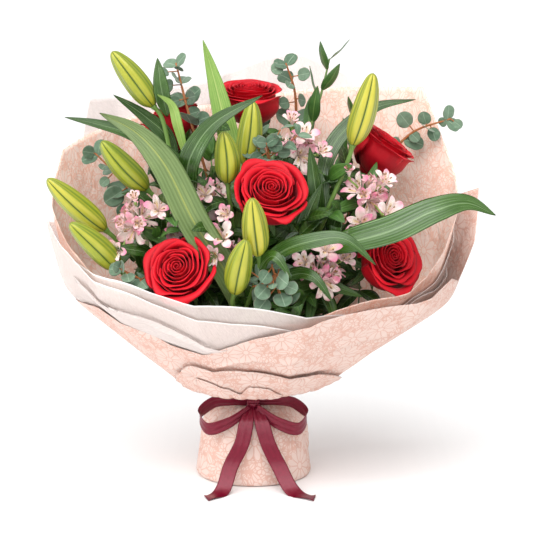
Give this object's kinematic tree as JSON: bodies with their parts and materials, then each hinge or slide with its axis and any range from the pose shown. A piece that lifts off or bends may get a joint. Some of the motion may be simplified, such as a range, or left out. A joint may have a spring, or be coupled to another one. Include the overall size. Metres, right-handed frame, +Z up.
{
  "type": "mixed flower bouquet",
  "caption": "Hand-tied mixed bouquet of red roses, green lily buds, alstroemeria and foliage, standing in layered peach and sheer wrapping paper tied with a satin bow.",
  "frame": {"origin": "on the table, at the middle of the flat underside of the gathered wrap, on the axis of the bound neck", "axes": "+Z up along the axis of the bound neck, -Y to the front with the bow, +X to the viewer's right from the front"},
  "size_m": [0.4733, 0.3172, 0.482],
  "materials": {
    "printed_paper": "matte",
    "sheer_wrap": "matte",
    "satin_ribbon": "satin",
    "twine": "matte",
    "rose_petals": "matte",
    "lily_buds": "satin",
    "alstroemeria_petals": "matte",
    "rose_foliage": "satin",
    "lily_foliage": "satin",
    "alstroemeria_foliage": "satin",
    "eucalyptus_foliage": "matte",
    "ruscus_foliage": "satin"
  },
  "bodies": {
    "root": {"alstroemeria_centre_left_flowers": "alstroemeria_petals", "alstroemeria_centre_left_stem": "alstroemeria_foliage", "alstroemeria_left_flowers": "alstroemeria_petals", "alstroemeria_left_stem": "alstroemeria_foliage", "alstroemeria_low_right_flowers": "alstroemeria_petals", "alstroemeria_low_right_stem": "alstroemeria_foliage", "alstroemeria_mid_left_flowers": "alstroemeria_petals", "alstroemeria_mid_left_stem": "alstroemeria_foliage", "alstroemeria_right_flowers": "alstroemeria_petals", "alstroemeria_right_stem": "alstroemeria_foliage", "alstroemeria_top_flowers": "alstroemeria_petals", "alstroemeria_top_stem": "alstroemeria_foliage", "binding_twine": "twine", "eucalyptus_centre": "eucalyptus_foliage", "eucalyptus_front": "eucalyptus_foliage", "eucalyptus_left": "eucalyptus_foliage", "eucalyptus_low_left": "eucalyptus_foliage", "eucalyptus_right": "eucalyptus_foliage", "eucalyptus_top": "eucalyptus_foliage", "eucalyptus_upper_left": "eucalyptus_foliage", "lily_centre_bud_1": "lily_buds", "lily_centre_bud_2": "lily_buds", "lily_centre_stem": "lily_foliage", "lily_front_bud_1": "lily_buds", "lily_front_bud_2": "lily_buds", "lily_front_stem": "lily_foliage", "lily_left_bud_1": "lily_buds", "lily_left_bud_2": "lily_buds", "lily_left_stem": "lily_foliage", "lily_right_bud_1": "lily_buds", "lily_right_stem": "lily_foliage", "lily_upper_left_bud_1": "lily_buds", "lily_upper_left_bud_2": "lily_buds", "lily_upper_left_stem": "lily_foliage", "ribbon_bow": "satin_ribbon", "rose_centre_bloom": "rose_petals", "rose_centre_stem": "rose_foliage", "rose_lower_left_bloom": "rose_petals", "rose_lower_left_stem": "rose_foliage", "rose_lower_right_bloom": "rose_petals", "rose_lower_right_stem": "rose_foliage", "rose_right_bloom": "rose_petals", "rose_right_stem": "rose_foliage", "rose_top_bloom": "rose_petals", "rose_top_stem": "rose_foliage", "rose_upper_left_bloom": "rose_petals", "rose_upper_left_stem": "rose_foliage", "ruscus_right": "ruscus_foliage", "ruscus_top": "ruscus_foliage", "wrap_printed_inner": "printed_paper", "wrap_printed_outer": "printed_paper", "wrap_sheer_inner": "sheer_wrap", "wrap_sheer_outer": "sheer_wrap"}
  },
  "joints": []
}
